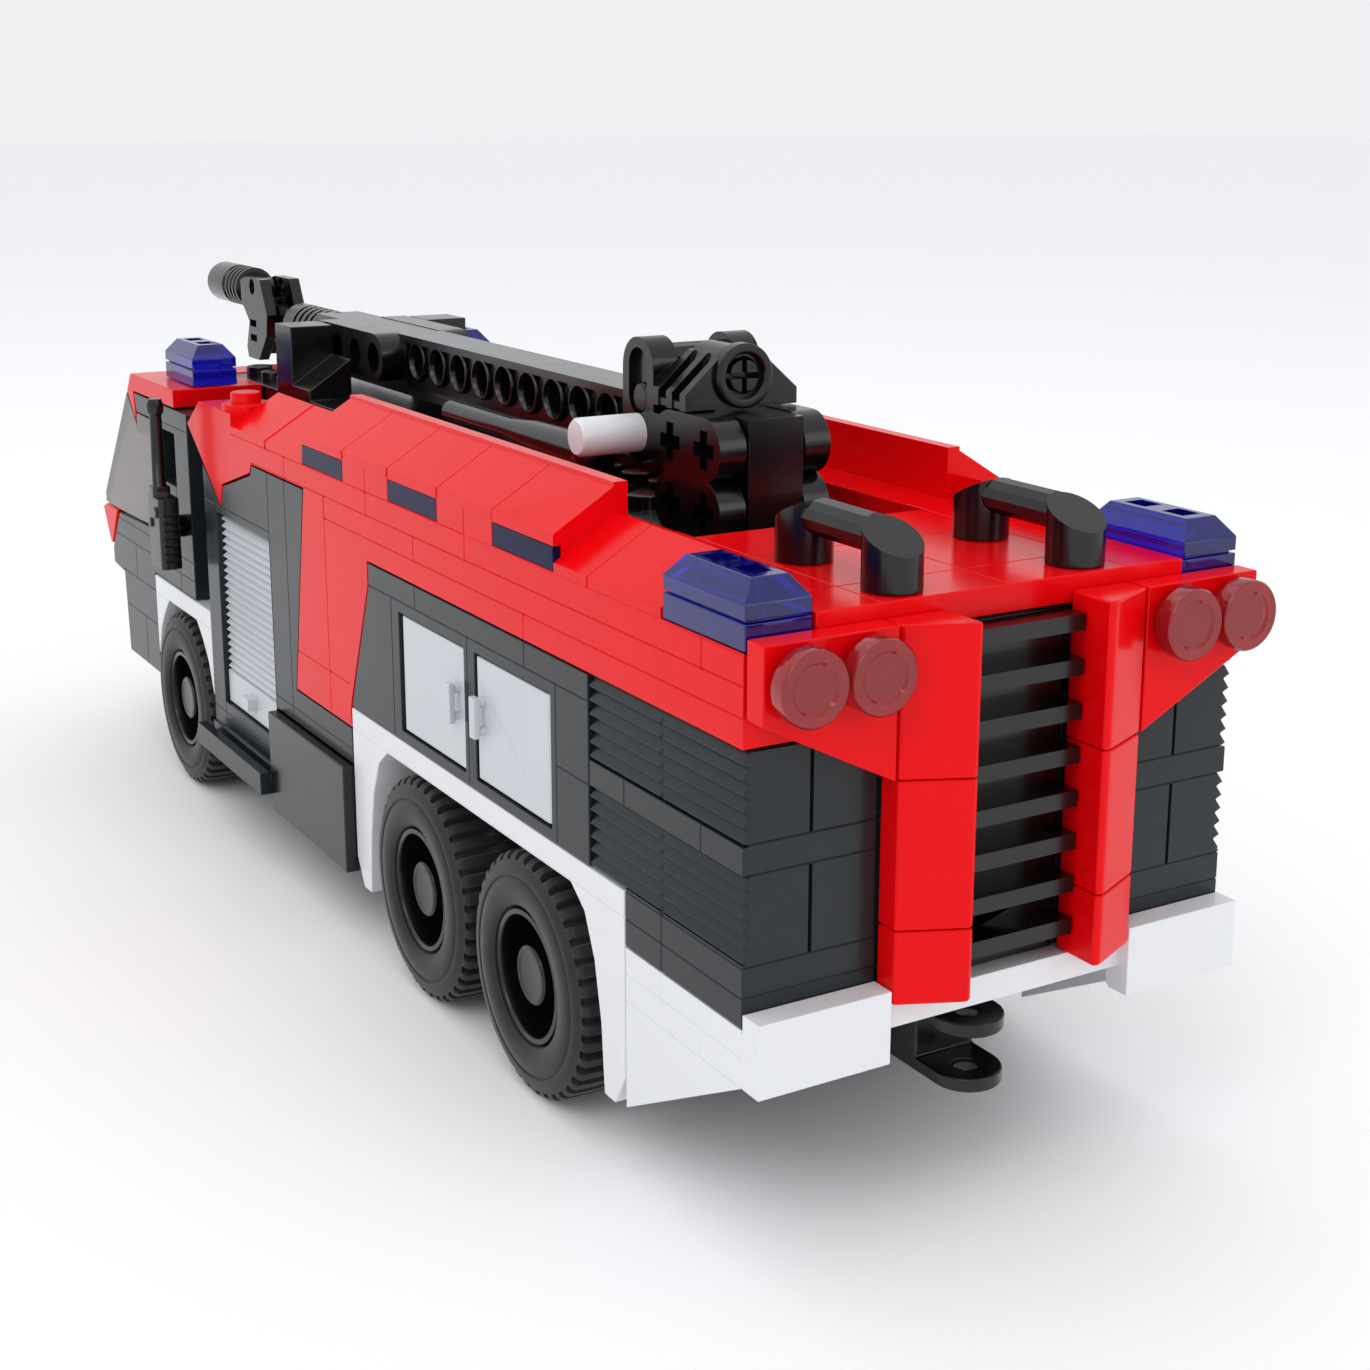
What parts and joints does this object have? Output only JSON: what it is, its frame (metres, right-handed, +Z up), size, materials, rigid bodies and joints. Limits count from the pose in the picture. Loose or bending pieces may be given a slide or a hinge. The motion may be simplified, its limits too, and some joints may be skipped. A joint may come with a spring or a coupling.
{
  "type": "building-brick toy airport fire truck",
  "caption": "Building-brick toy model of an airport fire truck, with rolling wheels, opening side cupboards, a lifting roof boom and a tilting nozzle.",
  "frame": {"origin": "on the ground under the middle of the truck's bounding box", "axes": "+X forward towards the cab, +Y to the truck's left, +Z up"},
  "size_m": [0.2568, 0.0768, 0.089],
  "materials": {
    "red_abs": "glossy",
    "dark_grey_abs": "glossy",
    "black_abs": "glossy",
    "white_abs": "glossy",
    "light_grey_abs": "glossy",
    "clear_blue_plastic": "glossy",
    "smoke_plastic": "glossy",
    "tyre_rubber": "matte"
  },
  "bodies": {
    "body": {"boom_stand": "black_abs", "cab_beacon_left": "clear_blue_plastic", "cab_beacon_right": "clear_blue_plastic", "cab_body": "dark_grey_abs", "cab_front_panel": "red_abs", "cab_roof": "red_abs", "chassis": "black_abs", "cupboard_frame_left": "dark_grey_abs", "cupboard_frame_right": "dark_grey_abs", "front_arch_left": "white_abs", "front_arch_right": "white_abs", "front_axle_beam": "black_abs", "mirror_left": "black_abs", "mirror_right": "black_abs", "rear_arch_left": "white_abs", "rear_arch_right": "white_abs", "rear_axle_beam": "black_abs", "rear_beacon_left": "clear_blue_plastic", "rear_beacon_right": "clear_blue_plastic", "rear_bumper": "white_abs", "rear_corner_left": "dark_grey_abs", "rear_corner_right": "dark_grey_abs", "rear_deck": "red_abs", "rear_grille": "black_abs", "rear_lamps_left": "red_abs", "rear_lamps_right": "red_abs", "rear_pillar_left": "red_abs", "rear_pillar_right": "red_abs", "roller_shutter_left": "light_grey_abs", "roller_shutter_right": "light_grey_abs", "roof_handle_left": "black_abs", "roof_handle_right": "black_abs", "roof_platform": "black_abs", "shutter_frame_left": "dark_grey_abs", "shutter_frame_right": "dark_grey_abs", "side_skirt_left": "black_abs", "side_skirt_right": "black_abs", "tow_hitch": "black_abs", "upper_side_left": "red_abs", "upper_side_right": "red_abs", "windscreen": "smoke_plastic"},
    "wheel_front_left": {"tyre_front_left": "tyre_rubber", "rim_front_left": "black_abs"},
    "wheel_front_right": {"tyre_front_right": "tyre_rubber", "rim_front_right": "black_abs"},
    "wheel_middle_left": {"tyre_middle_left": "tyre_rubber", "rim_middle_left": "black_abs"},
    "wheel_middle_right": {"tyre_middle_right": "tyre_rubber", "rim_middle_right": "black_abs"},
    "wheel_rear_left": {"tyre_rear_left": "tyre_rubber", "rim_rear_left": "black_abs"},
    "wheel_rear_right": {"tyre_rear_right": "tyre_rubber", "rim_rear_right": "black_abs"},
    "door_rear_left": {"cupboard_door_rear_left": "light_grey_abs"},
    "door_rear_right": {"cupboard_door_rear_right": "light_grey_abs"},
    "door_front_left": {"cupboard_door_front_left": "light_grey_abs"},
    "door_front_right": {"cupboard_door_front_right": "light_grey_abs"},
    "boom": {"boom": "black_abs"},
    "nozzle_arm": {"nozzle_arm": "black_abs"},
    "nozzle": {"nozzle": "black_abs"}
  },
  "joints": [
    {"name": "wheel_front_left_turn", "type": "hinge", "parent": "body", "child": "wheel_front_left", "pos_m": [0.062, 0.026, 0.0152], "axis": [0, 1, 0], "continuous": true},
    {"name": "wheel_front_right_turn", "type": "hinge", "parent": "body", "child": "wheel_front_right", "pos_m": [0.062, -0.026, 0.0152], "axis": [0, 1, 0], "continuous": true},
    {"name": "wheel_middle_left_turn", "type": "hinge", "parent": "body", "child": "wheel_middle_left", "pos_m": [-0.042, 0.026, 0.0152], "axis": [0, 1, 0], "continuous": true},
    {"name": "wheel_middle_right_turn", "type": "hinge", "parent": "body", "child": "wheel_middle_right", "pos_m": [-0.042, -0.026, 0.0152], "axis": [0, 1, 0], "continuous": true},
    {"name": "wheel_rear_left_turn", "type": "hinge", "parent": "body", "child": "wheel_rear_left", "pos_m": [-0.074, 0.026, 0.0152], "axis": [0, 1, 0], "continuous": true},
    {"name": "wheel_rear_right_turn", "type": "hinge", "parent": "body", "child": "wheel_rear_right", "pos_m": [-0.074, -0.026, 0.0152], "axis": [0, 1, 0], "continuous": true},
    {"name": "door_rear_left_hinge", "type": "hinge", "parent": "body", "child": "door_rear_left", "pos_m": [-0.0794, 0.0309, 0.044], "axis": [0, 0, 1], "range_deg": [0, 95]},
    {"name": "door_rear_right_hinge", "type": "hinge", "parent": "body", "child": "door_rear_right", "pos_m": [-0.0794, -0.0309, 0.044], "axis": [0, 0, -1], "range_deg": [0, 95]},
    {"name": "door_front_left_hinge", "type": "hinge", "parent": "body", "child": "door_front_left", "pos_m": [-0.0377, 0.0309, 0.044], "axis": [0, 0, -1], "range_deg": [0, 95]},
    {"name": "door_front_right_hinge", "type": "hinge", "parent": "body", "child": "door_front_right", "pos_m": [-0.0377, -0.0309, 0.044], "axis": [0, 0, 1], "range_deg": [0, 95]},
    {"name": "boom_lift", "type": "hinge", "parent": "body", "child": "boom", "pos_m": [-0.058, 0, 0.077], "axis": [0, -1, 0], "range_deg": [0, 30]},
    {"name": "nozzle_arm_tilt", "type": "hinge", "parent": "boom", "child": "nozzle_arm", "pos_m": [0.096, 0, 0.077], "axis": [0, -1, 0], "range_deg": [-25, 45]},
    {"name": "nozzle_tilt", "type": "hinge", "parent": "nozzle_arm", "child": "nozzle", "pos_m": [0.1052, 0, 0.0817], "axis": [0, -1, 0], "range_deg": [-30, 40]}
  ]
}
